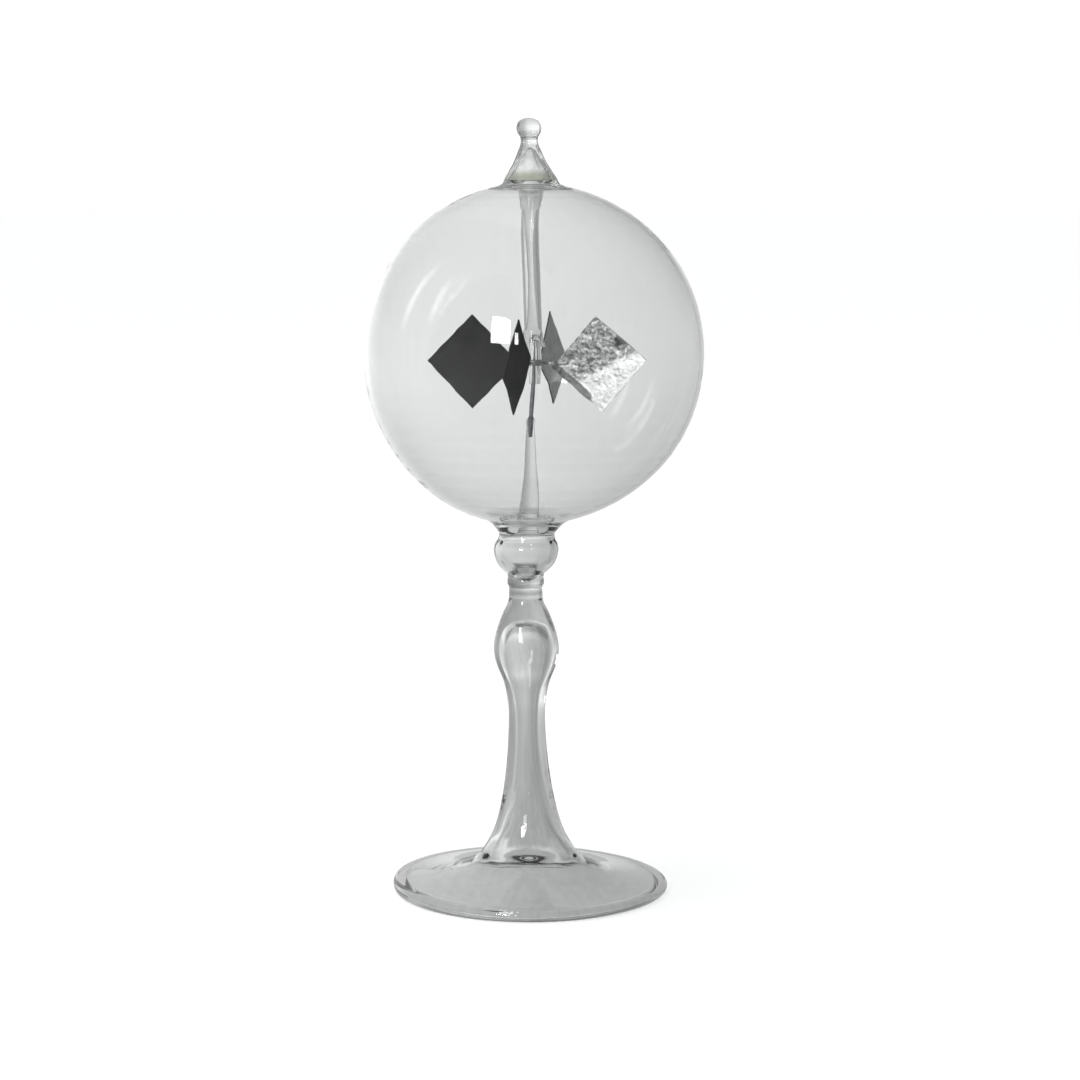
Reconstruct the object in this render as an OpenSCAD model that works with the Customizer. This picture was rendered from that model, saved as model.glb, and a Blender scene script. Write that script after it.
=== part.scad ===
// Crookes radiometer: an evacuated glass bulb on a blown glass foot, with four
// blackened vanes that turn on a needle point. All sizes are in millimetres.
// The axis of the instrument is Z, and the foot stands on the plane z = 0.

/* [Bulb] */
// Outer diameter of the blown bulb
bulb_d = 80; // [76:0.5:84]
// Height of the bulb's centre above the table
bulb_z = 128; // [125:0.5:132]
// Thickness of the bulb's glass
bulb_wall = 1; // [0.8:0.1:1.2]

/* [Top seal] */
// Diameter of the seal cone where it leaves the bulb
cone_d = 12.7; // [12:0.1:13.4]
// Height of the seal cone above the bulb
cone_h = 9.4; // [8:0.2:11]
// Diameter of the cone's narrow end, under the bead
cone_tip_d = 3.9; // [3.4:0.1:4.4]
// Diameter of the melted bead on the tip
bead_d = 5.8; // [5:0.1:6.6]

/* [Guide tube] */
// Outer diameter of the tube that hangs over the bearing cup
tube_d = 5.8; // [5.4:0.1:6.4]
// Inner diameter of the guide tube
tube_bore_d = 4.4; // [4:0.1:4.6]
// Height of the tube's open end above the vanes' centre line
tube_gap = 3.7; // [3:0.1:4.5]

/* [Neck and stem] */
// Diameter of the hollow knop under the bulb
knop_d = 15.3; // [14:0.1:17]
// Diameter of the collar between the knop and the stem
collar_d = 8.2; // [7.6:0.1:9]
// Greatest diameter of the stem's baluster
baluster_d = 15.5; // [14:0.1:17]
// Diameter of the stem's waist
waist_d = 8.6; // [8:0.1:9.4]

/* [Foot] */
// Diameter of the foot over its rolled rim
foot_d = 65.4; // [60:0.2:70]
// Height of the rolled rim
rim_h = 2.7; // [2.4:0.1:3]
// Height of the foot where the stem flares out of it
foot_h = 7; // [6.4:0.1:7.6]
// Thickness of the foot's glass there, measured upright
foot_t = 1.7; // [1.6:0.1:2]

/* [Needle and its stalk] */
// Diameter of the glass stalk at its base
stalk_d = 5; // [4:0.1:6]
// Diameter of the glass stalk at its top
stalk_tip_d = 1.9; // [1.6:0.1:2.4]
// Diameter of the steel needle
needle_d = 0.6; // [0.4:0.05:0.8]

/* [Rotor] */
// Side of each square vane
vane_side = 15.8; // [14:0.1:17]
// Distance from the axis to a vane's outer corner
vane_reach = 26.5; // [26:0.1:28]
// Thickness of a vane's metal sheet
vane_t = 0.12; // [0.08:0.01:0.2]
// Thickness of the lampblack on a vane
coat_t = 0.06; // [0.03:0.01:0.1]
// Outer diameter of the glass bearing cup
cup_d = 2.6; // [2.4:0.1:3]
// Inner diameter of the bearing cup
cup_bore_d = 1.6; // [1.4:0.1:1.8]
// Direction of the first vane at rest, in degrees from +X
rotor_turn = -16; // [-90:1:90]

/* [Hidden] */
$fn = 96;
vane_count = 4;

// Seams between the pieces, from the bulb up and down
bulb_r = bulb_d / 2;
top_seam_z = bulb_z + bulb_r + 0.4;
bead_z = top_seam_z + cone_h;
bead_h = 0.88 * bead_d;
neck_z = bulb_z - bulb_r - 2.4;
collar_z = neck_z - 9.2;
ring_z = collar_z - 3.2;
stem_z = ring_z - 2.6;
baluster_z = stem_z - 12.3;
waist_z = baluster_z - 16.3;

// Heights where the bulb's round wall turns into its top seal and its neck
top_turn_z = bulb_z + bulb_r - 1.4;
neck_turn_z = neck_z + 4.35;

// Radii at the seams
neck_r = 6.5;
neck_bore_r = 5.3;
top_bore_r = 5.1;
collar_bore_r = 0.46 * collar_d / 2;
ring_r = collar_d / 2 - 0.15;
foot_seam_r = 13.5;
rim_seam_r = foot_d / 2 - 3.1;

// The rotor's heights: the needle point carries the cup above the vanes' centre line
vane_z = bulb_z - 1.9;
cup_low_z = vane_z - 5;
point_z = vane_z + 5.3;
point_play = 0.03;
cup_top_t = 1.2;
needle_root_z = vane_z - 17.5;
needle_taper = 5;
stalk_top_z = vane_z - 14.6;
vane_half = vane_side * sqrt(2) / 2;
vane_centre_r = vane_reach - vane_half;
hub_r = cup_d / 2 + 0.5;
hub_h = 1.4;
arm_t = 0.3;
arm_h = 0.7;
arm_overlap = 4;

clear_glass = [0.86, 0.89, 0.89, 0.35];
foot_glass = [0.72, 0.75, 0.75, 0.45];
silver = [0.78, 0.79, 0.80];
lampblack = [0.10, 0.11, 0.11];
steel = [0.35, 0.35, 0.37];

// A smooth curve through the stations of an outline, each [radius, height]
curve_steps = 5;
function curve_point(a, b, c, d, t) =
    0.5 * (2 * b + (c - a) * t + (2 * a - 5 * b + 4 * c - d) * t * t + (3 * b - a - 3 * c + d) * t * t * t);
function curve(p) = concat(
    [for (i = [0 : len(p) - 2], k = [0 : curve_steps - 1])
        curve_point(p[max(i - 1, 0)], p[i], p[i + 1], p[min(i + 2, len(p) - 1)], k / curve_steps)],
    [p[len(p) - 1]]);
function reversed(p) = [for (i = [len(p) - 1 : -1 : 0]) p[i]];
function arc(centre, r, from, to, steps = 8) =
    [for (i = [0 : steps])
        let (a = from + (to - from) * i / steps)
        centre + r * [cos(a), sin(a)]];

// A blown or drawn piece of glass: its outer outline from top to bottom, and its bore
module lathe(outer, inner = []) {
    rotate_extrude() polygon(concat(outer, reversed(inner)));
}

// A rolled glass bead round the foot, ground flat underneath where it stands
module foot_rim() {
    roll_r = rim_h / 2;
    color(foot_glass)
        lathe(concat(
            [[rim_seam_r, rim_h]],
            arc([foot_d / 2 - roll_r, roll_r], roll_r, 90, -90),
            [[foot_d / 2 - roll_r - 0.9, 0], [rim_seam_r, 0.4 * rim_h]]));
}

// The spun disc, thin and domed, hollow underneath
module foot() {
    span = rim_seam_r - foot_seam_r;
    drop = foot_h - rim_h;
    under_drop = foot_h - foot_t - 0.4 * rim_h;
    profile = [
        [0, 1], [0.03, 0.93], [0.08, 0.83], [0.15, 0.71], [0.24, 0.58], [0.34, 0.46], [0.58, 0.24],
        [0.82, 0.08], [1, 0]];
    color(foot_glass)
        lathe(
            curve([for (p = profile) [foot_seam_r + span * p[0], rim_h + drop * p[1]]]),
            curve([for (p = profile) [foot_seam_r + span * p[0], 0.4 * rim_h + under_drop * p[1]]]));
}

// The drawn stem: a baluster on top, a waist, and a trumpet that flares into the foot
module stem() {
    rb = baluster_d / 2;
    rw = waist_d / 2;
    outer = [
        [ring_r, stem_z], [0.59 * rb, stem_z - 1.7], [0.755 * rb, stem_z - 4.6], [0.92 * rb, stem_z - 8.4],
        [rb, baluster_z], [0.91 * rb, baluster_z - 3.8], [0.7 * rb, baluster_z - 8], [1.06 * rw, waist_z + 4],
        [rw, waist_z], [1.07 * rw, waist_z - 7], [1.23 * rw, waist_z - 14], [1.48 * rw, waist_z - 20.5],
        [1.83 * rw, waist_z - 26.4], [2.25 * rw, waist_z - 30.3], [2.65 * rw, foot_h + 1.95],
        [foot_seam_r - 1.1, foot_h + 0.85], [foot_seam_r - 0.5, foot_h + 0.36], [foot_seam_r, foot_h]];
    inner = [
        [0, stem_z - 6], [0.3 * rb, stem_z - 6.7], [0.5 * rb, stem_z - 8.6], [0.6 * rb, baluster_z + 1],
        [0.58 * rb, baluster_z - 2], [0.46 * rb, baluster_z - 5.6], [0.3 * rb, baluster_z - 10],
        [0.42 * rw, waist_z + 1], [0.42 * rw, waist_z - 5], [0.52 * rw, waist_z - 12],
        [0.71 * rw, waist_z - 18.5], [1.02 * rw, waist_z - 24.4], [1.45 * rw, waist_z - 29.3],
        [2 * rw, foot_h + 2.2], [foot_seam_r - 3, foot_h + 0.42], [foot_seam_r - 1.4, foot_h - 0.73],
        [foot_seam_r - 0.5, foot_h - foot_t + 0.35], [foot_seam_r, foot_h - foot_t]];
    color(foot_glass) lathe(concat([[0, stem_z]], curve(outer)), curve(inner));
}

// The solid disc of glass that fuses the stem to the bulb's own neck
module weld_ring() {
    color(foot_glass)
        lathe(concat([[0, ring_z]],
            curve([
                [collar_d / 2, ring_z], [ring_r - 0.1, ring_z - 0.9], [ring_r - 0.1, ring_z - 1.8],
                [ring_r, stem_z]]),
            [[0, stem_z]]));
}

// A short thick collar between the knop and the weld, its bore closed at the bottom
module collar() {
    color(clear_glass)
        lathe(
            concat(
                curve([
                    [collar_d / 2 + 0.2, collar_z], [collar_d / 2 + 0.15, collar_z - 1.4],
                    [collar_d / 2, ring_z]]),
                [[0, ring_z]]),
            curve([
                [collar_bore_r, collar_z], [0.95 * collar_bore_r, collar_z - 1],
                [0.6 * collar_bore_r, collar_z - 1.8], [0, collar_z - 2]]));
}

// The hollow ball-shaped knop
module knop() {
    rk = knop_d / 2;
    outer = [
        [neck_r, neck_z], [0.88 * rk, neck_z - 1], [0.97 * rk, neck_z - 2.2], [rk, neck_z - 3.4],
        [0.98 * rk, neck_z - 4.7], [0.92 * rk, neck_z - 6.1], [0.83 * rk, neck_z - 7.3],
        [0.71 * rk, neck_z - 8.3], [collar_d / 2 + 0.2, collar_z]];
    inner = [
        [neck_bore_r, neck_z], [0.75 * rk, neck_z - 1.2], [0.81 * rk, neck_z - 3.4],
        [0.74 * rk, neck_z - 5.4], [0.57 * rk, neck_z - 7], [0.38 * rk, neck_z - 8.3],
        [collar_bore_r, collar_z]];
    color(clear_glass) lathe(curve(outer), curve(inner));
}

// The bulb: a thin sphere with a short opening at each pole
module bulb() {
    upper = curve([
        [9.2, top_turn_z], [7.6, top_seam_z - 1.05], [6.75, top_seam_z - 0.7], [cone_d / 2, top_seam_z]]);
    lower = curve([
        [neck_r, neck_z], [neck_r + 0.15, neck_z + 0.6], [neck_r + 0.8, neck_z + 1.4],
        [neck_r + 1.7, neck_z + 2.4], [neck_r + 2.8, neck_z + 3.25], [neck_r + 5.1, neck_turn_z]]);
    color(clear_glass)
        rotate_extrude()
            difference() {
                union() {
                    translate([0, bulb_z]) circle(bulb_r);
                    polygon(concat([[0, top_turn_z]], upper, [[0, top_seam_z]]));
                    polygon(concat([[0, neck_z]], lower, [[0, neck_turn_z]]));
                }
                translate([0, bulb_z]) circle(bulb_r - bulb_wall);
                translate([-bulb_d, 0]) square([bulb_d, 3 * bulb_d]);
                translate([0, bulb_z]) square([top_bore_r, bulb_d]);
                square([neck_bore_r, bulb_z]);
            }
}

// The cone left by drawing off the pumping tube, hollow inside
module seal_cone() {
    outer = [
        [cone_d / 2, top_seam_z], [0.93 * cone_d / 2, top_seam_z + 0.09 * cone_h],
        [0.8 * cone_d / 2, top_seam_z + 0.23 * cone_h], [0.66 * cone_d / 2, top_seam_z + 0.38 * cone_h],
        [0.53 * cone_d / 2, top_seam_z + 0.55 * cone_h], [0.42 * cone_d / 2, top_seam_z + 0.73 * cone_h],
        [0.33 * cone_d / 2, top_seam_z + 0.88 * cone_h], [cone_tip_d / 2, bead_z]];
    inner = [
        [top_bore_r, top_seam_z], [0.86 * top_bore_r, top_seam_z + 0.11 * cone_h],
        [0.66 * top_bore_r, top_seam_z + 0.28 * cone_h], [0.46 * top_bore_r, top_seam_z + 0.45 * cone_h],
        [0.29 * top_bore_r, top_seam_z + 0.6 * cone_h], [0.15 * top_bore_r, top_seam_z + 0.72 * cone_h],
        [0, top_seam_z + 0.79 * cone_h]];
    color(clear_glass) lathe(concat(curve(outer), [[0, bead_z]]), curve(inner));
}

// The drop of glass that closed the tip when the bulb was sealed off
module tip_bead() {
    rb = bead_d / 2;
    color(clear_glass)
        lathe(concat([[0, bead_z]],
            curve([
                [cone_tip_d / 2, bead_z], [0.74 * rb, bead_z + 0.15 * bead_h],
                [0.91 * rb, bead_z + 0.3 * bead_h], [rb, bead_z + 0.5 * bead_h],
                [0.94 * rb, bead_z + 0.7 * bead_h], [0.75 * rb, bead_z + 0.86 * bead_h],
                [0.4 * rb, bead_z + 0.96 * bead_h], [0, bead_z + bead_h]])));
}

// The tube inside the bulb that keeps the cup on the needle, flanged into the top seal
module guide_tube() {
    rt = tube_d / 2;
    low = vane_z + tube_gap;
    color(clear_glass)
        lathe(concat(
                [[top_bore_r, top_seam_z]],
                curve([[top_bore_r, top_seam_z - 1.1], [0.75 * top_bore_r, top_seam_z - 1.3],
                    [rt + 0.25, top_seam_z - 1.9], [rt, top_seam_z - 3]]),
                [[rt, low]]),
            [[tube_bore_d / 2, top_seam_z], [tube_bore_d / 2, low]]);
}

// The drawn glass rod that rises from the neck and closes the bulb below
module stalk() {
    base_h = 0.8;
    color(clear_glass)
        difference() {
            lathe(concat(
                [[0, stalk_top_z]],
                curve([[stalk_tip_d / 2, stalk_top_z], [0.42 * stalk_d / 2 + 0.12, stalk_top_z - 4],
                    [0.62 * stalk_d / 2, stalk_top_z - 11], [0.86 * stalk_d / 2, stalk_top_z - 17],
                    [stalk_d / 2, neck_z + 4], [0.6 * neck_bore_r, neck_z + 2.2],
                    [0.8 * neck_bore_r, neck_z + 1.3], [neck_bore_r, neck_z + base_h]]),
                [[neck_bore_r, neck_z], [0, neck_z]]));
            translate([0, 0, needle_root_z]) cylinder(r = needle_d / 2, h = vane_z - needle_root_z);
        }
}

// The bead melted round the needle where it leaves the stalk
module stalk_bead() {
    rs = stalk_tip_d / 2;
    color(clear_glass)
        difference() {
            lathe(concat([[0, stalk_top_z]],
                curve([[rs, stalk_top_z], [1.15 * rs, stalk_top_z + 0.5], [1.1 * rs, stalk_top_z + 1],
                    [0.8 * rs, stalk_top_z + 1.5], [0.55 * rs, stalk_top_z + 1.8]]),
                [[0, stalk_top_z + 1.8]]));
            translate([0, 0, stalk_top_z - 1]) cylinder(r = needle_d / 2, h = 4);
        }
}

// The steel needle, ground to a point
module needle() {
    shank_top = point_z - needle_taper;
    color(steel) {
        translate([0, 0, needle_root_z]) cylinder(r = needle_d / 2, h = shank_top - needle_root_z);
        translate([0, 0, shank_top])
            cylinder(r1 = needle_d / 2, r2 = needle_d / 16, h = needle_taper - point_play);
    }
}

// The glass cup whose closed end rides on the needle point
module hub_cup() {
    ro = cup_d / 2;
    ri = cup_bore_d / 2;
    dome_z = point_z - ri;
    color(clear_glass)
        lathe(
            concat(arc([0, point_z + cup_top_t - ro], ro, 90, 0), [[ro, cup_low_z]]),
            concat(arc([0, dome_z], ri, 90, 0), [[ri, cup_low_z]]));
}

// The metal ring round the cup that carries the arms
module hub_ring() {
    color(silver)
        translate([0, 0, vane_z - hub_h / 2])
            difference() {
                cylinder(r = hub_r, h = hub_h);
                translate([0, 0, -1]) cylinder(r = cup_d / 2, h = hub_h + 2);
            }
}

// Places a part for vane number i: +X points outwards and +Y to the blackened side
module at_vane(i) {
    rotate([0, 0, rotor_turn + (i - 1) * 360 / vane_count])
        translate([0, 0, vane_z])
            children();
}

// The flat strip that holds a vane, soldered to its bright side
module arm(i) {
    reach = vane_centre_r - vane_half + arm_overlap;
    color(silver)
        difference() {
            at_vane(i)
                translate([0, -vane_t / 2 - arm_t, -arm_h / 2])
                    cube([reach, arm_t, arm_h]);
            cylinder(r = hub_r, h = 2 * bulb_z);
        }
}

// A square sheet standing on one corner, centred on the vane
module diamond(thickness) {
    rotate([0, 45, 0])
        translate([-vane_side / 2, 0, -vane_side / 2])
            cube([vane_side, thickness, vane_side]);
}

// The bright metal sheet
module vane(i) {
    color(silver)
        at_vane(i)
            translate([vane_centre_r, -vane_t / 2, 0])
                diamond(vane_t);
}

// The lampblack on the side that the vanes turn away from
module coat(i) {
    color(lampblack)
        at_vane(i)
            translate([vane_centre_r, vane_t / 2, 0])
                diamond(coat_t);
}

foot_rim();
foot();
stem();
weld_ring();
collar();
knop();
bulb();
seal_cone();
tip_bead();
guide_tube();
stalk();
stalk_bead();
needle();
hub_cup();
hub_ring();
for (i = [1 : vane_count]) {
    arm(i);
    vane(i);
    coat(i);
}
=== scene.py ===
"""A Crookes radiometer: a blown glass bulb on a drawn glass stem and a spun glass foot.

Inside the bulb four foil vanes, black on one side, turn on a steel needle. The glass is
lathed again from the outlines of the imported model, then leaned and waved as blown glass
is, and the foil is creased.
"""

import math

import bmesh
import bpy
import numpy as np
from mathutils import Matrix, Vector, noise


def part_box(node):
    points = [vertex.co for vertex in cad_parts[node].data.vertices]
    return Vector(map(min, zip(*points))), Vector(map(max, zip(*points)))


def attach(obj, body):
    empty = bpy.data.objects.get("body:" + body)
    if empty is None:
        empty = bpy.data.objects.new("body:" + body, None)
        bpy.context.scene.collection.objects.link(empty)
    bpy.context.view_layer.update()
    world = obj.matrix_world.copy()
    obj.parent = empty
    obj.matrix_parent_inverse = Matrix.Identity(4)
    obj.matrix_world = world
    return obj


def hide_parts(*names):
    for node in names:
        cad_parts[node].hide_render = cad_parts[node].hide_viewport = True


MM = 0.001
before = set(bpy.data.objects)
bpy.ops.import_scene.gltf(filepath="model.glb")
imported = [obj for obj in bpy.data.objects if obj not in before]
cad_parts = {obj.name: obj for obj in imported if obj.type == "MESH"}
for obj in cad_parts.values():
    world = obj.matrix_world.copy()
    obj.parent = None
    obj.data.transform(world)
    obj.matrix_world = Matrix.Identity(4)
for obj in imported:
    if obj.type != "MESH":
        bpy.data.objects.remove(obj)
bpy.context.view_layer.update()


# ---------------------------------------------------------------- camera

CAMERA_BACK = 673.5 * MM
CAMERA_SIDE = 1.17 * MM
CAMERA_HEIGHT = 175.46 * MM
CAMERA_DOWN = math.radians(7.717)
LENS = 95.93


def make_camera():
    """The long lens looks along +Y, a little down, from just below the bulb's tip."""
    data = bpy.data.cameras.new("camera")
    data.lens = LENS
    data.sensor_width = 36
    data.clip_start = 0.01
    camera = bpy.data.objects.new("camera", data)
    camera.location = (CAMERA_SIDE, -CAMERA_BACK, CAMERA_HEIGHT)
    camera.rotation_euler = (math.pi / 2 - CAMERA_DOWN, 0, 0)
    bpy.context.scene.collection.objects.link(camera)
    bpy.context.scene.camera = camera


make_camera()


# ---------------------------------------------------------------- node helpers


def new_material(name):
    """An empty node material, its tree and its output."""
    material = bpy.data.materials.new(name)
    material.use_nodes = True
    tree = material.node_tree
    tree.nodes.clear()
    return material, tree, tree.nodes.new("ShaderNodeOutputMaterial")


def set_inputs(node, **values):
    """Sets a node's sockets by name, with _ for a space."""
    for name, value in values.items():
        node.inputs[name.replace("_", " ")].default_value = value
    return node


def grey(value, alpha=1.0):
    """A neutral colour with the slightest cool cast."""
    return (value * 0.995, value, value * 0.998, alpha)


def stretched(tree, scale):
    """Object coordinates in millimetres, stretched by scale."""
    where = tree.nodes.new("ShaderNodeTexCoord")
    mapping = set_inputs(tree.nodes.new("ShaderNodeMapping"), Scale=[s / MM for s in scale])
    tree.links.new(where.outputs["Object"], mapping.inputs["Vector"])
    return mapping.outputs["Vector"]


def noise_of(tree, vector, scale, detail=3.0, roughness=0.5):
    """A noise texture's value over a vector."""
    node = set_inputs(tree.nodes.new("ShaderNodeTexNoise"), Scale=scale, Detail=detail, Roughness=roughness)
    tree.links.new(vector, node.inputs["Vector"])
    return node.outputs["Fac"]


def ramp(tree, value, *stops):
    """A colour ramp over a value, from (place, colour) stops."""
    node = tree.nodes.new("ShaderNodeValToRGB")
    elements = node.color_ramp.elements
    while len(elements) < len(stops):
        elements.new(0.5)
    for element, (place, colour) in zip(elements, stops):
        element.position = place
        element.color = colour
    tree.links.new(value, node.inputs["Fac"])
    return node.outputs["Color"]


def bump(tree, height, distance):
    """A bump from a height value, its full height given in millimetres."""
    node = set_inputs(tree.nodes.new("ShaderNodeBump"), Distance=distance * MM, Strength=1.0)
    tree.links.new(height, node.inputs["Height"])
    return node.outputs["Normal"]


def product(tree, kind, first, second):
    """Two values or, with the vector kind of node, two colours multiplied."""
    node = tree.nodes.new(kind)
    node.operation = "MULTIPLY"
    tree.links.new(first, node.inputs[0])
    tree.links.new(second, node.inputs[1])
    return node.outputs[0]


# ---------------------------------------------------------------- heights


def top_of(node):
    """The height of a node's highest point in millimetres."""
    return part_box(node)[1].z / MM


def low_of(node):
    """The height of a node's lowest point in millimetres."""
    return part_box(node)[0].z / MM


RIM_TOP = top_of("foot_rim")
NECK = top_of("knop")
BULB_TOP = top_of("bulb")
BULB_MID = (NECK + BULB_TOP) / 2
COLLAR = top_of("collar")
WELD = top_of("weld_ring")
STEM = top_of("stem")
TIP = top_of("tip_bead")
NEEDLE_TIP = top_of("needle")


# ---------------------------------------------------------------- materials

GLASS_IOR = 1.48
# The cloudy ring on the top seal: it fades from full to none between these heights over the bulb
CLOUDY = (1.2, 2.9)


def blown_glass(name, tint, shade, wave_height, roughness):
    """Clear glass with drawn streaks and a slow wave, which lets soft lamps through."""
    material, tree, out = new_material(name)
    glass = set_inputs(
        tree.nodes.new("ShaderNodeBsdfPrincipled"),
        Transmission_Weight=1.0, Roughness=roughness, IOR=GLASS_IOR,
    )
    drawn = noise_of(tree, stretched(tree, (0.5, 0.5, 0.045)), 1.0, 4.0, 0.6)
    slow = noise_of(tree, stretched(tree, (0.12, 0.12, 0.09)), 1.0, 2.0)
    colour = ramp(tree, drawn, (0.3, grey(tint * shade)), (0.62, grey(tint)))
    tree.links.new(colour, glass.inputs["Base Color"])
    tree.links.new(bump(tree, slow, wave_height), glass.inputs["Normal"])
    let_light_through(tree, glass, out, tint)
    return material


def seal_glass():
    """The glass of the top seal: drawn streaks above, and a cloudy olive ring where it was melted on."""
    material, tree, out = new_material("seal_glass_cloudy")
    glass = set_inputs(tree.nodes.new("ShaderNodeBsdfPrincipled"), Transmission_Weight=1.0, IOR=GLASS_IOR)
    where = tree.nodes.new("ShaderNodeTexCoord")
    height = tree.nodes.new("ShaderNodeSeparateXYZ")
    tree.links.new(where.outputs["Object"], height.inputs["Vector"])
    ring = tree.nodes.new("ShaderNodeMapRange")
    ring.inputs["From Min"].default_value = (BULB_TOP + CLOUDY[1]) * MM
    ring.inputs["From Max"].default_value = (BULB_TOP + CLOUDY[0]) * MM
    tree.links.new(height.outputs["Z"], ring.inputs["Value"])
    speckle = noise_of(tree, stretched(tree, (0.9, 0.9, 0.9)), 2.4, 4.0, 0.7)
    cloud = product(tree, "ShaderNodeMath", ring.outputs["Result"], speckle)
    drawn = noise_of(tree, stretched(tree, (0.9, 0.9, 0.12)), 1.0, 4.0, 0.65)
    streaks = ramp(tree, drawn, (0.36, grey(0.88)), (0.56, grey(0.99)))
    stain = ramp(tree, cloud, (0.1, grey(1.0)), (0.6, (0.66, 0.67, 0.60, 1)))
    tree.links.new(product(tree, "ShaderNodeVectorMath", streaks, stain), glass.inputs["Base Color"])
    frost = ramp(tree, cloud, (0.1, grey(0.0)), (0.6, grey(0.22)))
    tree.links.new(frost, glass.inputs["Roughness"])
    tree.links.new(bump(tree, drawn, 0.05), glass.inputs["Normal"])
    let_light_through(tree, glass, out, 0.9)
    return material


def worked_glass_painted_shade():
    """The collar and the weld: glass worked at the lamp, with rings of streaks round it, and painted shade: a
    darker grey tint with dark and light rings painted in for the shade and light bands of the thick glass.
    """
    material, tree, out = new_material("collar_glass_painted_shade_bands")
    glass = set_inputs(
        tree.nodes.new("ShaderNodeBsdfPrincipled"), Transmission_Weight=1.0, Roughness=0.02, IOR=GLASS_IOR
    )
    rings = noise_of(tree, stretched(tree, (0.16, 0.16, 1.0)), 0.62, 4.0, 0.6)
    # Painted shade and light: this grey ramp darkens the glass and paints dark and light rings round it; the
    # bump below is the glass's own.
    colour = ramp(tree, rings, (0.40, grey(0.42)), (0.5, grey(0.72)), (0.6, grey(0.92)))
    tree.links.new(colour, glass.inputs["Base Color"])
    tree.links.new(bump(tree, rings, 0.12), glass.inputs["Normal"])
    let_light_through(tree, glass, out, 0.85)
    return material


def let_light_through(tree, glass, out, tint):
    """Joins a glass shader to the output, so that soft lamps shine through it without a hard shadow."""
    clear = set_inputs(tree.nodes.new("ShaderNodeBsdfTransparent"), Color=grey(tint))
    path = tree.nodes.new("ShaderNodeLightPath")
    mix = tree.nodes.new("ShaderNodeMixShader")
    tree.links.new(path.outputs["Is Shadow Ray"], mix.inputs["Fac"])
    tree.links.new(glass.outputs["BSDF"], mix.inputs[1])
    tree.links.new(clear.outputs["BSDF"], mix.inputs[2])
    tree.links.new(mix.outputs["Shader"], out.inputs["Surface"])


def fused_seam():
    """The face where two pieces of glass are melted into one: there is nothing to see."""
    material, tree, out = new_material("fused_seam")
    shader = set_inputs(
        tree.nodes.new("ShaderNodeBsdfPrincipled"), Base_Color=grey(0.95), Alpha=0.0, Roughness=0.0
    )
    tree.links.new(shader.outputs["BSDF"], out.inputs["Surface"])
    return material


def rolled_silver(name, tone, roughness, grain):
    """Bright foil or strip: fine rolling lines, tarnish in clouds, uneven gloss, flecks where it is worn."""
    material, tree, out = new_material(name)
    metal = set_inputs(tree.nodes.new("ShaderNodeBsdfPrincipled"), Metallic=1.0)
    cloud = noise_of(tree, stretched(tree, (0.35, 0.35, 0.35)), 1.0, 5.0, 0.6)
    lines = noise_of(tree, stretched(tree, (1.2, 1.2, 14.0)), 1.0, 2.0)
    fine = noise_of(tree, stretched(tree, (1.0, 1.0, 1.0)), grain, 5.0, 0.65)
    colour = ramp(tree, cloud, (0.32, grey(tone * 0.72)), (0.5, grey(tone * 0.93)), (0.68, grey(tone)))
    flecks = noise_of(tree, stretched(tree, (1.0, 1.0, 1.0)), 0.8, 7.0, 0.74)
    wear = tree.nodes.new("ShaderNodeAttribute")
    wear.attribute_name = "wear"
    spots = ramp(tree, flecks, (0.39, grey(1.0)), (0.57, grey(0.0)))
    amount = product(tree, "ShaderNodeMath", spots, wear.outputs["Fac"])
    flecked = tree.nodes.new("ShaderNodeMix")
    flecked.data_type = "RGBA"
    flecked.inputs["B"].default_value = grey(tone * 0.3)
    tree.links.new(amount, flecked.inputs["Factor"])
    tree.links.new(colour, flecked.inputs["A"])
    tree.links.new(flecked.outputs["Result"], metal.inputs["Base Color"])
    gloss = ramp(tree, lines, (0.3, grey(roughness * 0.88)), (0.7, grey(roughness * 1.15)))
    tree.links.new(gloss, metal.inputs["Roughness"])
    tree.links.new(bump(tree, fine, 0.045), metal.inputs["Normal"])
    tree.links.new(metal.outputs["BSDF"], out.inputs["Surface"])
    return material


def lampblack():
    """Soot smoked on to the foil: near black, dead matt, a little cloudy and grainy."""
    material, tree, out = new_material("lampblack_soot")
    soot = set_inputs(tree.nodes.new("ShaderNodeBsdfPrincipled"), Specular_IOR_Level=0.12)
    cloud = noise_of(tree, stretched(tree, (0.3, 0.3, 0.3)), 1.0, 4.0, 0.6)
    grain = noise_of(tree, stretched(tree, (1.0, 1.0, 1.0)), 7.0, 3.0)
    colour = ramp(tree, cloud, (0.3, grey(0.018)), (0.55, grey(0.024)), (0.75, grey(0.032)))
    tree.links.new(colour, soot.inputs["Base Color"])
    matt = ramp(tree, grain, (0.3, grey(0.82)), (0.7, grey(0.98)))
    tree.links.new(matt, soot.inputs["Roughness"])
    tree.links.new(bump(tree, grain, 0.006), soot.inputs["Normal"])
    tree.links.new(soot.outputs["BSDF"], out.inputs["Surface"])
    return material


def drawn_steel():
    """The needle: drawn steel with fine lengthwise lines and a blued haze."""
    material, tree, out = new_material("needle_steel")
    steel = set_inputs(tree.nodes.new("ShaderNodeBsdfPrincipled"), Metallic=1.0)
    haze = noise_of(tree, stretched(tree, (1.5, 1.5, 0.15)), 1.0, 3.0)
    lines = noise_of(tree, stretched(tree, (9.0, 9.0, 0.4)), 1.0, 2.0)
    colour = ramp(tree, haze, (0.35, (0.20, 0.20, 0.23, 1)), (0.65, (0.36, 0.36, 0.37, 1)))
    tree.links.new(colour, steel.inputs["Base Color"])
    gloss = ramp(tree, lines, (0.3, grey(0.22)), (0.7, grey(0.4)))
    tree.links.new(gloss, steel.inputs["Roughness"])
    tree.links.new(bump(tree, lines, 0.01), steel.inputs["Normal"])
    tree.links.new(steel.outputs["BSDF"], out.inputs["Surface"])
    return material


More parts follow.
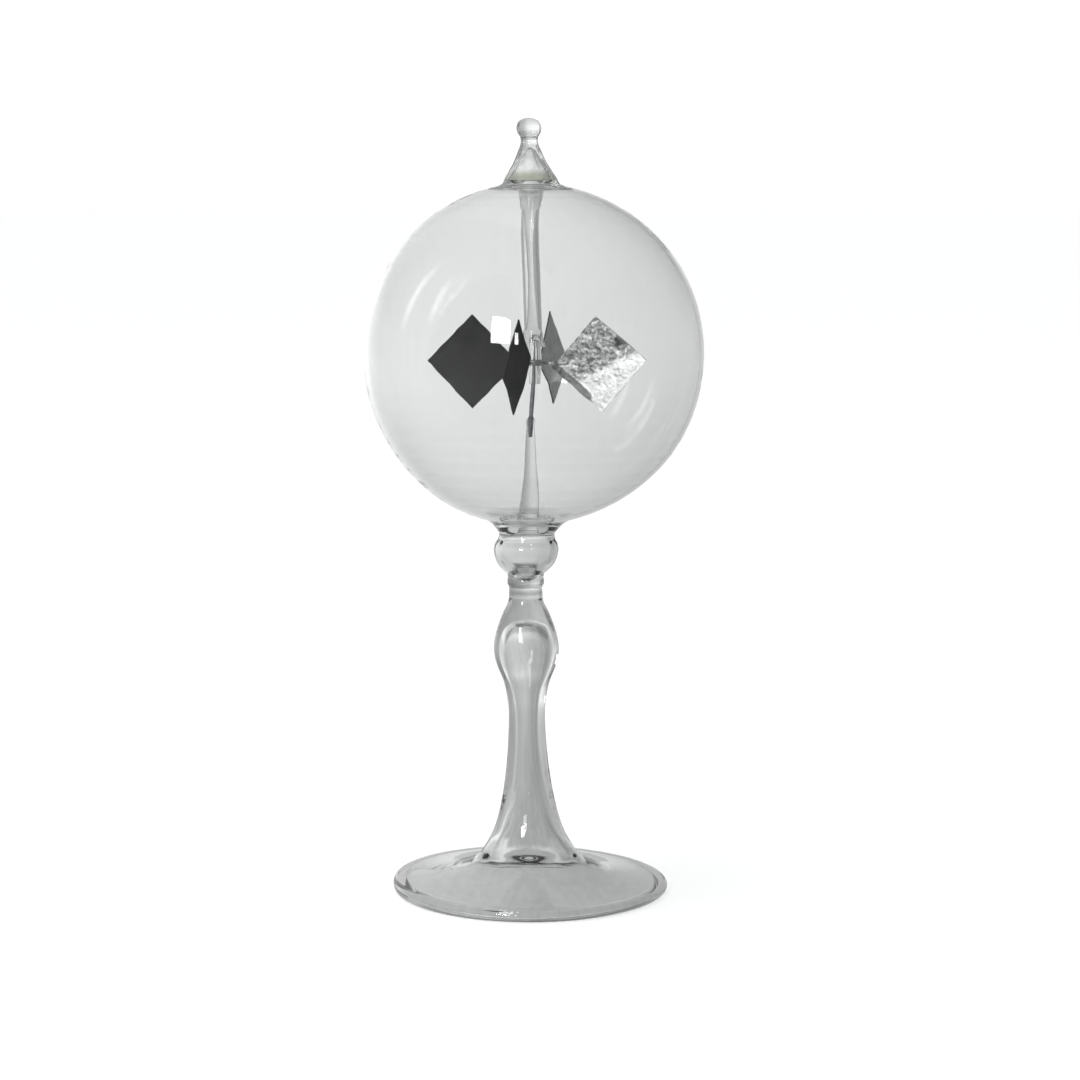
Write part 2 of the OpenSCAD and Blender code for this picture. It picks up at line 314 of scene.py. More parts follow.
SEAM = fused_seam()
BULB_GLASS = blown_glass("bulb_glass_clear", 0.94, 0.985, 0.02, 0.0)
STEM_GLASS = blown_glass("foot_glass_clear", 0.92, 0.86, 0.03, 0.0)
CUP_GLASS = blown_glass("cup_glass_clear", 0.95, 0.98, 0.01, 0.02)
SEAL_GLASS = seal_glass()
WORKED_GLASS_PAINTED_SHADE = worked_glass_painted_shade()
VANE_FOIL = rolled_silver("vane_foil", 0.47, 0.44, 2.2)
HUB_METAL = rolled_silver("hub_strip", 0.42, 0.3, 6.0)
SOOT = lampblack()
STEEL = drawn_steel()


# ---------------------------------------------------------------- lathed glass

CUT_TURN = math.radians(1.0)
CORNER = math.radians(26)
STRAIGHT = math.radians(0.25)
SHARP = math.radians(32)
TOUCH = 0.03


def cut_outline(node):
    """A lathed node's outline in millimetres as (radius, height) points, and whether it closes.

    A cut through the axis gives it. An outline that starts and ends on the axis is open.
    """
    across = Vector((math.cos(CUT_TURN), math.sin(CUT_TURN), 0))
    aside = Vector((-math.sin(CUT_TURN), math.cos(CUT_TURN), 0))
    bm = bmesh.new()
    bm.from_mesh(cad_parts[node].data)
    bmesh.ops.remove_doubles(bm, verts=bm.verts, dist=1e-7)
    for normal, clear in ((across, True), (aside, False)):
        everything = bm.verts[:] + bm.edges[:] + bm.faces[:]
        cut = bmesh.ops.bisect_plane(
            bm, geom=everything, dist=1e-9, plane_co=(0, 0, 0), plane_no=normal, clear_inner=clear
        )
    edges = [e for e in cut["geom_cut"] if isinstance(e, bmesh.types.BMEdge)]
    place = {}
    links = {}
    for edge in edges:
        keys = []
        for vert in edge.verts:
            key = (round(vert.co.dot(across) / MM, 3), round(vert.co.z / MM, 3))
            place[key] = key
            keys.append(key)
        if keys[0] != keys[1]:
            links.setdefault(keys[0], set()).add(keys[1])
            links.setdefault(keys[1], set()).add(keys[0])
    bm.free()
    ends = [key for key in links if len(links[key]) == 1]
    closed = not ends
    start = max(ends or links, key=lambda key: (key[1], key[0]))
    walk = [start]
    before = None
    while True:
        ahead = [key for key in sorted(links[walk[-1]]) if key != before and (key not in walk[1:])]
        ahead = [key for key in ahead if key != start or len(walk) > 2]
        if not ahead or ahead[-1] == start:
            break
        before = walk[-1]
        walk.append(ahead[-1])
    return np.array(without_straight(walk, closed)), closed


def turn_at(a, b, c):
    """The angle by which a walk from a to c turns at b."""
    first = math.atan2(b[1] - a[1], b[0] - a[0])
    second = math.atan2(c[1] - b[1], c[0] - b[0])
    return abs((second - first + math.pi) % (2 * math.pi) - math.pi)


def without_straight(points, closed):
    """The points without those in the middle of a straight stretch."""
    kept = []
    count = len(points)
    for i, point in enumerate(points):
        inside = closed or 0 < i < count - 1
        if inside and turn_at(points[i - 1], point, points[(i + 1) % count]) < STRAIGHT:
            continue
        kept.append(point)
    return kept


def cubic(t, width, first, last, slope_first, slope_last):
    """The smooth curve over a width from first to last with the given slopes, at the shares t."""
    return (
        (2 * t**3 - 3 * t**2 + 1) * first + (t**3 - 2 * t**2 + t) * width * slope_first
        + (3 * t**2 - 2 * t**3) * last + (t**3 - t**2) * width * slope_last
    )


def smooth_run(run, step):
    """Points about step apart on the smooth curve through a run of points, its last one left out."""
    if len(run) == 2:
        count = max(1, math.ceil(np.linalg.norm(run[1] - run[0]) / step))
        return [run[0] + (run[1] - run[0]) * k / count for k in range(count)]
    chord = np.concatenate([[0], np.cumsum(np.linalg.norm(np.diff(run, axis=0), axis=1))])
    slope = np.gradient(run, chord, axis=0, edge_order=2)
    count = max(2, math.ceil(chord[-1] / step))
    at = np.linspace(0, chord[-1], count, endpoint=False)
    i = np.clip(np.searchsorted(chord, at, side="right") - 1, 0, len(run) - 2)
    width = (chord[i + 1] - chord[i])[:, None]
    t = (at - chord[i])[:, None] / width
    return list(cubic(t, width, run[i], run[i + 1], slope[i], slope[i + 1]))


def smooth_outline(points, closed, step):
    """An outline with even, closely set points and its sharp corners kept."""
    count = len(points)
    corners = [
        i for i in range(count)
        if (closed or 0 < i < count - 1)
        and turn_at(points[i - 1], points[i], points[(i + 1) % count]) > CORNER
    ]
    if closed:
        points = np.roll(points, -corners[0], axis=0)
        corners = [i - corners[0] for i in corners]
        points = np.vstack([points, points[:1]])
    stops = sorted(set([0] + corners + [len(points) - 1]))
    result = []
    for first, last in zip(stops, stops[1:]):
        result += smooth_run(points[first:last + 1], step)
    if not closed:
        result.append(points[-1])
    return np.array(result)


def touches(points, other):
    """Whether each point lies on another outline."""
    a = other[:-1]
    d = other[1:] - a
    length = np.maximum((d**2).sum(1), 1e-12)
    t = np.clip(((points[:, None] - a) * d).sum(2) / length, 0, 1)
    gap = np.linalg.norm(points[:, None] - (a + t[..., None] * d), axis=2)
    return gap.min(1) < TOUCH


def revolve(name, outline, closed, fused, turns, shape, materials):
    """A closed mesh turned from an outline. fused says which stretches are melted to a neighbour."""
    rings = []
    verts = []
    angles = np.arange(turns) * 2 * math.pi / turns
    for radius, height in outline:
        if radius < 1e-4:
            rings.append([len(verts)])
            verts.append((0, 0, height))
        else:
            rings.append(list(range(len(verts), len(verts) + turns)))
            verts += [(radius * math.cos(a), radius * math.sin(a), height) for a in angles]
    pairs = list(zip(rings, rings[1:]))
    if closed:
        pairs.append((rings[-1], rings[0]))
    faces = []
    which = []
    for (upper, lower), seam in zip(pairs, fused):
        for k in range(turns):
            ahead = (k + 1) % turns
            if len(upper) == 1 and len(lower) == 1:
                continue
            if len(upper) == 1:
                faces.append((upper[0], lower[k], lower[ahead]))
            elif len(lower) == 1:
                faces.append((upper[k], lower[0], upper[ahead]))
            else:
                faces.append((upper[k], lower[k], lower[ahead], upper[ahead]))
            which.append(1 if seam else 0)
    places = shape(np.array(verts)) * MM
    mesh = bpy.data.meshes.new(name)
    mesh.from_pydata(places.tolist(), [], faces)
    for material in materials:
        mesh.materials.append(material)
    mesh.polygons.foreach_set("material_index", which)
    return finish_mesh(name, mesh)


def finish_mesh(name, mesh):
    """Turns the faces outwards, shades them smooth but for the corners, and makes the object."""
    bm = bmesh.new()
    bm.from_mesh(mesh)
    bmesh.ops.recalc_face_normals(bm, faces=bm.faces)
    bm.to_mesh(mesh)
    bm.free()
    mesh.polygons.foreach_set("use_smooth", [True] * len(mesh.polygons))
    mesh.set_sharp_from_angle(angle=SHARP)
    piece = bpy.data.objects.new(name, mesh)
    bpy.context.scene.collection.objects.link(piece)
    return piece


# ---------------------------------------------------------------- how the glass was blown


def along(*stations):
    """A smooth function through (place, value) stations, level beyond the last ones."""
    x, y = np.array(stations, float).T
    slope = np.gradient(y, x)

    def value(at):
        at = np.clip(at, x[0], x[-1])
        i = np.clip(np.searchsorted(x, at, side="right") - 1, 0, len(x) - 2)
        width = x[i + 1] - x[i]
        return cubic((at - x[i]) / width, width, y[i], y[i + 1], slope[i], slope[i + 1])

    return value


# How far the glass leans from the rotor's axis at each height, in millimetres
BODY_LEAN = along(
    (0, -1.1), (0.3 * NECK, -1.75), (0.7 * NECK, -2.05), (0.98 * NECK, -2.0),
    (NECK + 14, -0.7), (BULB_MID, -0.25), (BULB_TOP - 14, -0.45), (BULB_TOP, -0.95), (TIP, -1.45),
)
STALK_LEAN = along(
    (NECK, BODY_LEAN(NECK)), (NECK + 1, BODY_LEAN(NECK + 1)), (NECK + 8, -1.25),
    (top_of("stalk_bead"), -0.95), (low_of("hub_cup"), -0.4), (NEEDLE_TIP, -0.05),
)
TUBE_LEAN = along(
    (low_of("guide_tube"), -0.35), (low_of("guide_tube") + 15, -0.9), (BULB_TOP - 10, -1.3),
    (BULB_TOP - 1, BODY_LEAN(BULB_TOP - 1)), (BULB_TOP, BODY_LEAN(BULB_TOP)),
)
# How deep the drawn flutes and the rings round the glass are at each height, as parts of the radius
FLUTES = along(
    (RIM_TOP, 0), (0.1 * NECK, 0.004), (0.18 * NECK, 0.007), (0.5 * NECK, 0.012), (STEM - 12, 0.008),
    (STEM, 0.012), (COLLAR, 0.01), (NECK - 6, 0.006), (NECK, 0.01), (NECK + 4, 0.002), (NECK + 8, 0),
    (NECK + 12, 0), (BULB_TOP - 6, 0), (BULB_TOP - 3, 0), (BULB_TOP, 0.006), (BULB_TOP + 3, 0.022),
    (TIP - 6, 0.04), (TIP - 2, 0.02),
)
RINGS = along(
    (STEM - 3.5, 0), (STEM - 2.2, -0.01), (STEM - 1.2, -0.03), (STEM, 0.01), (WELD - 1.3, 0.03),
    (WELD - 0.5, -0.01), (WELD, -0.03), (WELD + 0.5, 0.02), (WELD + 1.4, 0.03), (COLLAR - 0.9, -0.02),
    (COLLAR, 0.01), (COLLAR + 0.8, 0), (COLLAR + 1.6, 0),
)
FOOT_TILT = math.tan(math.radians(1.0))
OVAL = 0.0035
SLOW_WAVE = 0.0025


def blown(lean):
    """A function that gives points the lean, the oval and the slow waves of hand-blown glass."""

    def shape(points):
        x, y, z = points.T
        turn = np.arctan2(y, x)
        flutes = np.sin(5 * turn + z / 19 + 0.6) + 0.8 * np.sin(8 * turn - z / 13 + 2.1)
        flutes += 0.6 * np.sin(13 * turn + z / 7 + 4)
        grow = 1 + OVAL * np.cos(2 * turn + z / 45) + SLOW_WAVE * np.sin(3 * turn - z / 9)
        grow += 0.5 * FLUTES(z) * flutes + RINGS(z)
        lift = np.clip(z / RIM_TOP, 0, 1) * np.clip((0.4 * NECK - z) / (0.4 * NECK - RIM_TOP), 0, 1)
        return np.column_stack([
            x * grow + lean(z),
            y * grow + 0.25 * (lean(z) - lean(0 * z)),
            z - FOOT_TILT * x * lift,
        ])

    return shape


def true(points):
    """The rotor's own parts run true on its axis."""
    return points


LATHED = {
    # node: (step along the outline, points round it, shape, material, body, slot)
    "foot_rim": (0.35, 224, blown(BODY_LEAN), STEM_GLASS, "stand", "foot_glass"),
    "foot": (0.5, 224, blown(BODY_LEAN), STEM_GLASS, "stand", "foot_glass"),
    "stem": (0.5, 192, blown(BODY_LEAN), STEM_GLASS, "stand", "foot_glass"),
    "weld_ring": (0.2, 144, blown(BODY_LEAN), WORKED_GLASS_PAINTED_SHADE, "stand", "bulb_glass"),
    "collar": (0.2, 144, blown(BODY_LEAN), WORKED_GLASS_PAINTED_SHADE, "stand", "bulb_glass"),
    "knop": (0.25, 192, blown(BODY_LEAN), BULB_GLASS, "stand", "bulb_glass"),
    "bulb": (0.7, 224, blown(BODY_LEAN), BULB_GLASS, "stand", "bulb_glass"),
    "seal_cone": (0.2, 192, blown(BODY_LEAN), SEAL_GLASS, "stand", "bulb_glass"),
    "tip_bead": (0.15, 192, blown(BODY_LEAN), BULB_GLASS, "stand", "bulb_glass"),
    "guide_tube": (0.4, 128, blown(TUBE_LEAN), BULB_GLASS, "stand", "bulb_glass"),
    "stalk": (0.3, 128, blown(STALK_LEAN), BULB_GLASS, "stand", "bulb_glass"),
    "stalk_bead": (0.1, 96, blown(STALK_LEAN), BULB_GLASS, "stand", "bulb_glass"),
    "needle": (0.5, 48, blown(STALK_LEAN), STEEL, "stand", "needle_steel"),
    "hub_cup": (0.12, 96, true, CUP_GLASS, "rotor", "bulb_glass"),
    "hub_ring": (0.1, 96, true, HUB_METAL, "rotor", "hub_metal"),
}
ON_THE_ROTOR = ("hub_cup", "hub_ring")


def make_lathed():
    """Every turned piece, each in place of its own CAD node."""
    cuts = {node: cut_outline(node) for node in LATHED}
    for node, (step, turns, shape, material, body, slot) in LATHED.items():
        points, closed = cuts[node]
        outline = smooth_outline(points, closed, step)
        ahead = np.roll(outline, -1, axis=0) if closed else outline[1:]
        middle = (outline[:len(ahead)] + ahead) / 2
        fused = np.zeros(len(middle), bool)
        for other, (others, other_closed) in cuts.items():
            if other == node or node == "needle" or node in ON_THE_ROTOR or other in ON_THE_ROTOR:
                continue
            loop = np.vstack([others, others[:1]]) if other_closed else others
            fused |= touches(middle, loop)
        piece = revolve(node + "_piece", outline, closed, fused, turns, shape, (material, SEAM))
        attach(piece, body)
        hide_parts(node)


make_lathed()


# ---------------------------------------------------------------- foil vanes and their soot

FOIL_CELLS = 108
VANE_NODES = sorted(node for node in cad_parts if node.startswith("vane_"))


def vane_frame(node):
    """A sheet node's centre, outward and sideways directions, half diagonal and thickness."""
    points = np.array([v.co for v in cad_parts[node].data.vertices]) / MM
    low, high = points.min(0), points.max(0)
    centre = (low + high) / 2
    out = np.array([centre[0], centre[1], 0])
    out /= np.linalg.norm(out)
    side = np.cross([0, 0, 1], out)
    offset = points @ side
    return centre, out, side, (high[2] - low[2]) / 2, offset.max() - offset.min()


# How each vane's foil was handled, in degrees and millimetres: its turn in its own plane,
# its lean outwards and upwards as slopes, its folds as (direction of the bent part, distance of
# the fold from the centre, slope, how far it runs along the fold), its dents as (outwards,
# upwards, radius, depth), how hard it is crinkled inwards and upwards of the middle and
# elsewhere, and how worn it is at the same two places.
FOIL = {
    "vane_1": {
        "turn": 5, "lean": (0.10, 0.0), "folds": [(-130, 6.4, -0.55, 3.5), (-61, 1.3, -0.11, 40)],
        "dents": [(5.0, 4.6, 2.2, 0.8), (-6.5, 1.0, 2.5, 0.3)], "crinkle": (0.08, 0.06),
        "wear": (1.2, 0.25),
    },
    "vane_2": {
        "turn": 5, "lean": (0.0, 0.13), "folds": [(90, 1.5, -0.12, 40), (-90, 5.5, 0.25, 40)],
        "dents": [(0.5, -2.0, 4.0, -0.7)], "crinkle": (0.02, 0.03),
        "wear": (0.4, 0.4),
    },
    "vane_3": {
        "turn": 0, "lean": (0.0, 0.0), "folds": [(60, 6.0, 0.05, 40)],
        "dents": [(-4, -1, 5, 0.12)], "crinkle": (0.012, 0.012),
        "wear": (0.6, 0.2),
    },
    "vane_4": {
        "turn": -8, "lean": (0.0, 0.04), "folds": [(-90, 5.0, -0.15, 40), (80, 6.0, 0.08, 40)],
        "dents": [(2, 3, 4, 0.15)], "crinkle": (0.012, 0.012),
        "wear": (0.6, 0.2),
    },
}
FOLD_RADIUS = 0.12
CRINKLE_SIZE = 1.5
# The slow waves of all the foil
WAVE_SIZE = 6.0
WAVE_DEPTH = 0.1


def crinkles(p, q, seed, size):
    """Sharp-ridged crinkles about size millimetres apart, as a height from 0 to about 1."""
    flat = [
        abs(noise.noise(Vector((a / size, b / size, seed))))
        + 0.4 * noise.noise(Vector((2.3 * a / size, 2.3 * b / size, seed + 7)))
        + 0.25 * noise.noise(Vector((5.1 * a / size, 5.1 * b / size, seed + 13)))
        for a, b in zip(p.ravel(), q.ravel())
    ]
    return np.array(flat).reshape(p.shape)


def between(pair, p, q):
    """A value that goes from the first of a pair, inwards and upwards of a vane's middle, to the second."""
    upper_left = 0.5 - 0.5 * np.tanh((0.48 * p - 0.88 * q - 1.3) / 0.8)
    return pair[1] + (pair[0] - pair[1]) * upper_left


def foil_height(way, seed, p, q, half):
    """How far a vane's foil stands off its plane at (outward p, upward q), in millimetres."""
    height = way["lean"][0] * (p + 0.8 * half) + way["lean"][1] * q
    for direction, distance, slope, run in way["folds"]:
        angle = math.radians(direction)
        beyond = p * math.cos(angle) + q * math.sin(angle) - distance
        along_fold = q * math.cos(angle) - p * math.sin(angle)
        share = 0.5 - 0.5 * np.tanh((along_fold - run) / 0.6)
        height += share * slope * 0.5 * (beyond + np.hypot(beyond, FOLD_RADIUS))
    for at_p, at_q, radius, depth in way["dents"]:
        reach = np.hypot(p - at_p, q - at_q) / radius
        height += depth * np.clip(1 - reach, 0, None) ** 1.5
    height += between(way["crinkle"], p, q) * crinkles(p, q, seed, CRINKLE_SIZE)
    height += WAVE_DEPTH * crinkles(p, q, seed + 3.3, WAVE_SIZE)
    return height


def sheet_piece(name, place, low, high, height, way, material):
    """A closed thin sheet on its corner, between two side offsets of one creased surface.

    Its edges are sooty.
    """
    centre, out, side, half = place
    line = np.linspace(-1, 1, FOIL_CELLS + 1)
    a, b = np.meshgrid(line, line, indexing="ij")
    angle = math.radians(45 + way["turn"])
    edge = half / math.sqrt(2)
    p = edge * (a * math.cos(angle) - b * math.sin(angle))
    q = edge * (a * math.sin(angle) + b * math.cos(angle))
    lift = height(p, q)
    layers = [
        centre + p[..., None] * out + np.stack([0 * q, 0 * q, q], -1) + (lift + offset)[..., None] * side
        for offset in (low, high)
    ]
    row = FOIL_CELLS + 1
    layer = row * row
    faces = []
    for i in range(FOIL_CELLS):
        for j in range(FOIL_CELLS):
            k = i * row + j
            faces.append((k, k + 1, k + row + 1, k + row))
            faces.append((layer + k, layer + k + row, layer + k + row + 1, layer + k + 1))
    border = (
        [i * row for i in range(row)] + [FOIL_CELLS * row + j for j in range(1, row)]
        + [i * row + FOIL_CELLS for i in range(FOIL_CELLS - 1, -1, -1)] + list(range(FOIL_CELLS - 1, 0, -1))
    )
    for k, first in enumerate(border):
        second = border[(k + 1) % len(border)]
        faces.append((first, second, layer + second, layer + first))
    mesh = bpy.data.meshes.new(name)
    mesh.from_pydata((np.concatenate(layers).reshape(-1, 3) * MM).tolist(), [], faces)
    mesh.materials.append(material)
    mesh.materials.append(SOOT)
    mesh.polygons.foreach_set("material_index", [0] * (len(faces) - len(border)) + [1] * len(border))
    wear = mesh.attributes.new("wear", "FLOAT", "POINT")
    wear.data.foreach_set("value", np.tile(between(way["wear"], p, q).ravel(), 2))
    return finish_mesh(name, mesh)


# The strips, in millimetres: half their depth and height, how far from the axis they leave the hub,
# how far to the side they are there, how far behind the foil further out, and how much of their
# depth may reach towards the foil
STRIP_DEEP = 0.15
STRIP_TALL = 0.33
HUB_EDGE = 1.9
SIDE_AT_HUB = -0.22
BEHIND_FOIL = 0.24
SWELL = 0.17
STRIP_STATIONS = 48
STRIP_ROUND = 20


def strip_piece(name, place, reach, height):
    """The strip that carries a vane: a bent band with a blob of solder where it lies on the foil."""
    centre, out, side, half = place
    stations = np.arange(0, 1.0001, 1 / STRIP_STATIONS)
    turn = np.arange(STRIP_ROUND) * 2 * math.pi / STRIP_ROUND
    corner = centre @ out
    verts = []
    for t in stations:
        radius = reach[0] + (reach[1] - reach[0]) * t
        p = np.full(5, radius - corner)
        q = np.linspace(-0.4, 0.4, 5)
        on_foil = height(p, q).min() - BEHIND_FOIL
        share = min(max((radius - HUB_EDGE) / (corner - half - HUB_EDGE), 0), 1)
        share = share * share * (3 - 2 * share)
        middle = (1 - share) * SIDE_AT_HUB + share * on_foil
        lump = math.exp(-((radius - corner + half - 0.9) / 0.9) ** 2)
        rounding = math.sqrt(max(1 - max((t - 0.93) / 0.07, 0) ** 2, 0.02))
        for a in turn:
            wobble = 1 + 0.25 * noise.noise(Vector((radius * 1.6, 3 * math.cos(a), 3 * math.sin(a) + corner)))
            deep = STRIP_DEEP * (1 + 1.1 * lump) * wobble * rounding
            tall = STRIP_TALL * (1 + 0.9 * lump) * wobble * rounding
            square = 1 / max(abs(math.cos(a)), abs(math.sin(a))) ** 0.6
            offset = min(middle + deep * math.cos(a) * square, middle + SWELL)
            rise = tall * math.sin(a) * square + 0.12 * math.sin(2.2 * radius + corner)
            verts.append(centre - corner * out + radius * out + offset * side + np.array([0, 0, rise]))
    count = len(turn)
    faces = [
        (i * count + k, i * count + (k + 1) % count, (i + 1) * count + (k + 1) % count, (i + 1) * count + k)
        for i in range(len(stations) - 1) for k in range(count)
    ]
    faces.append(tuple(range(count)))
    faces.append(tuple(range(len(verts) - 1, len(verts) - 1 - count, -1)))
    mesh = bpy.data.meshes.new(name)
    mesh.from_pydata((np.array(verts) * MM).tolist(), [], faces)
    mesh.materials.append(HUB_METAL)
    return finish_mesh(name, mesh)


def reach_of(node, out):
    """How far from the axis a node starts and ends along a direction, in millimetres."""
    points = np.array([v.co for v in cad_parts[node].data.vertices]) / MM
    along_out = points @ out
    return along_out.min(), along_out.max()


def make_vanes():
    """Each vane's foil, the soot on its dark side creased alike, and its strip."""
    for seed, node in enumerate(VANE_NODES):
        way = FOIL[node]
        centre, out, side, half, thick = vane_frame(node)
        place = (centre, out, side, half)
        coat_node = node.replace("vane", "coat")
        coat = vane_frame(coat_node)[4]

        def height(p, q):
            return foil_height(way, 11 * seed + 2, p, q, half)

        foil = sheet_piece(node + "_piece", place, -thick / 2, thick / 2, height, way, VANE_FOIL)
        soot = sheet_piece(coat_node + "_piece", place, thick / 2, thick / 2 + coat, height, way, SOOT)
        arm_node = node.replace("vane", "arm")
        arm = strip_piece(arm_node + "_piece", place, reach_of(arm_node, out), height)
        made = ((foil, node, "vane_silver"), (soot, coat_node, "lampblack"), (arm, arm_node, "hub_metal"))
        for piece, replaced, slot in made:
            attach(piece, "rotor")
            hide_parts(replaced)


make_vanes()


# ---------------------------------------------------------------- studio


def by_camera(tree, seen, other, out_socket):
    """Joins two shaders: the first is what the camera sees, the second what glass and foil see."""
    path = tree.nodes.new("ShaderNodeLightPath")
    mix = tree.nodes.new("ShaderNodeMixShader")
    tree.links.new(path.outputs["Is Camera Ray"], mix.inputs["Fac"])
    tree.links.new(other, mix.inputs[1])
    tree.links.new(seen, mix.inputs[2])
    tree.links.new(mix.outputs["Shader"], out_socket)


# What the glass and the foil see of the studio, by compass direction from straight behind the
# instrument, left negative: the walls at eye height, and the table below them
WALLS = [
    (-180, 0.23), (-110, 0.40), (-75, 0.45), (-50, 0.66), (-34, 1.05), (-25, 1.15), (-12, 1.10), (-4, 1.02),
    (0, 0.95), (4, 0.84), (12, 0.68), (30, 0.47), (60, 0.38), (90, 0.32), (130, 0.25), (180, 0.23),
]
TABLE = [
    (-180, 0.22), (-110, 0.45), (-75, 0.60), (-50, 0.50), (-30, 0.50), (-14, 0.62), (-4, 0.63), (0, 0.58),
    (4, 0.50), (12, 0.43), (30, 0.36), (60, 0.38), (90, 0.28), (130, 0.22), (180, 0.22),
]
# The table gives way to the walls between these heights of a direction of length 1
TABLE_EDGE = (-0.20, -0.05)
# The tones are divided by this in the colour ramps, which stop at 1, and it is the studio's strength
BRIGHTEST = 1.4
# The strength of the white that the camera sees behind the instrument
CAMERA_WHITE = 1.1
# How much of the tones is left towards each height, from straight down at 0 to straight up at 1
LEVELS = [
    (0.0, 0.6), (0.3, 0.75), (0.42, 0.98), (0.48, 1.0), (0.54, 1.0), (0.6, 0.7), (0.75, 0.62), (1.0, 0.6),
]


def calculate(tree, operation, first, second=None):
    """A maths node on a value and, if given, a number."""
    node = tree.nodes.new("ShaderNodeMath")
    node.operation = operation
    tree.links.new(first, node.inputs[0])
    if second is not None:
        node.inputs[1].default_value = second
    return node.outputs["Value"]


def studio_tone(tree, direction):
    """The studio's colour towards a direction: walls above, the table below, a dimmer ceiling."""
    parts = tree.nodes.new("ShaderNodeSeparateXYZ")
    tree.links.new(direction, parts.inputs["Vector"])
    compass = tree.nodes.new("ShaderNodeMath")
    compass.operation = "ARCTAN2"
    tree.links.new(parts.outputs["X"], compass.inputs[0])
    tree.links.new(parts.outputs["Y"], compass.inputs[1])
    turn = calculate(tree, "ADD", calculate(tree, "MULTIPLY", compass.outputs["Value"], 0.5 / math.pi), 0.5)
    walls = ramp(tree, turn, *[(angle / 360 + 0.5, grey(tone / BRIGHTEST)) for angle, tone in WALLS])
    table = ramp(tree, turn, *[(angle / 360 + 0.5, grey(tone / BRIGHTEST)) for angle, tone in TABLE])
    rise = parts.outputs["Z"]
    above = tree.nodes.new("ShaderNodeMapRange")
    above.inputs["From Min"].default_value = TABLE_EDGE[0]
    above.inputs["From Max"].default_value = TABLE_EDGE[1]
    tree.links.new(rise, above.inputs["Value"])
    mix = tree.nodes.new("ShaderNodeMix")
    mix.data_type = "RGBA"
    tree.links.new(above.outputs["Result"], mix.inputs["Factor"])
    tree.links.new(table, mix.inputs["A"])
    tree.links.new(walls, mix.inputs["B"])
    half = calculate(tree, "MULTIPLY", calculate(tree, "ADD", rise, 1.0), 0.5)
    level = ramp(tree, half, *[(place, grey(share)) for place, share in LEVELS])
    return product(tree, "ShaderNodeVectorMath", mix.outputs["Result"], level)


def make_world():
    """A white room for the camera, and for the glass and the foil a soft grey one."""
    world = bpy.data.worlds.new("studio")
    bpy.context.scene.world = world
    world.use_nodes = True
    tree = world.node_tree
    tree.nodes.clear()
    out = tree.nodes.new("ShaderNodeOutputWorld")
    where = tree.nodes.new("ShaderNodeTexCoord")
    soft = set_inputs(tree.nodes.new("ShaderNodeBackground"), Strength=BRIGHTEST)
    tree.links.new(studio_tone(tree, where.outputs["Generated"]), soft.inputs["Color"])
    white = set_inputs(tree.nodes.new("ShaderNodeBackground"), Color=grey(1.0), Strength=CAMERA_WHITE)
    by_camera(tree, white.outputs["Background"], soft.outputs["Background"], out.inputs["Surface"])


FLOOR_RADIUS = 8
# The floor glows for the glass: each point of it shines in the tone that the studio has from here towards it
FLOOR_SEEN_FROM = (0, -0.3, NECK * MM)


def make_floor():
    """A plain pale floor. To the glass, the foil and every other ray but the camera's it is a painted glow in
    the studio's soft tones, which no light or shadow falls on.
    """
    material, tree, out = new_material("pale_paper")
    where = tree.nodes.new("ShaderNodeTexCoord")
    paper = noise_of(tree, where.outputs["Object"], 900.0, 2.0)
    seen_colour = ramp(tree, paper, (0.3, grey(0.9)), (0.7, grey(0.93)))
    seen = tree.nodes.new("ShaderNodeBsdfDiffuse")
    tree.links.new(seen_colour, seen.inputs["Color"])
    direction = tree.nodes.new("ShaderNodeVectorMath")
    direction.operation = "SUBTRACT"
    direction.inputs[1].default_value = FLOOR_SEEN_FROM
    tree.links.new(where.outputs["Object"], direction.inputs[0])
    unit = tree.nodes.new("ShaderNodeVectorMath")
    unit.operation = "NORMALIZE"
    tree.links.new(direction.outputs["Vector"], unit.inputs[0])
    # Painted glow: every ray but the camera's sees the floor shine by itself in the studio's tones
    through = set_inputs(tree.nodes.new("ShaderNodeEmission"), Strength=BRIGHTEST)
    tree.links.new(studio_tone(tree, unit.outputs["Vector"]), through.inputs["Color"])
    by_camera(tree, seen.outputs["BSDF"], through.outputs["Emission"], out.inputs["Surface"])
    mesh = bpy.data.meshes.new("floor")
    bm = bmesh.new()
    bmesh.ops.create_circle(bm, cap_ends=True, cap_tris=True, segments=96, radius=FLOOR_RADIUS)
    bm.to_mesh(mesh)
    bm.free()
    mesh.materials.append(material)
    floor = bpy.data.objects.new("floor", mesh)
    bpy.context.scene.collection.objects.link(floor)


def aim(lamp, place, target):
    """Puts a lamp in place and turns it to its target."""
    lamp.location = place
    lamp.rotation_euler = (Vector(target) - Vector(place)).to_track_quat("-Z", "Y").to_euler()
    bpy.context.scene.collection.objects.link(lamp)


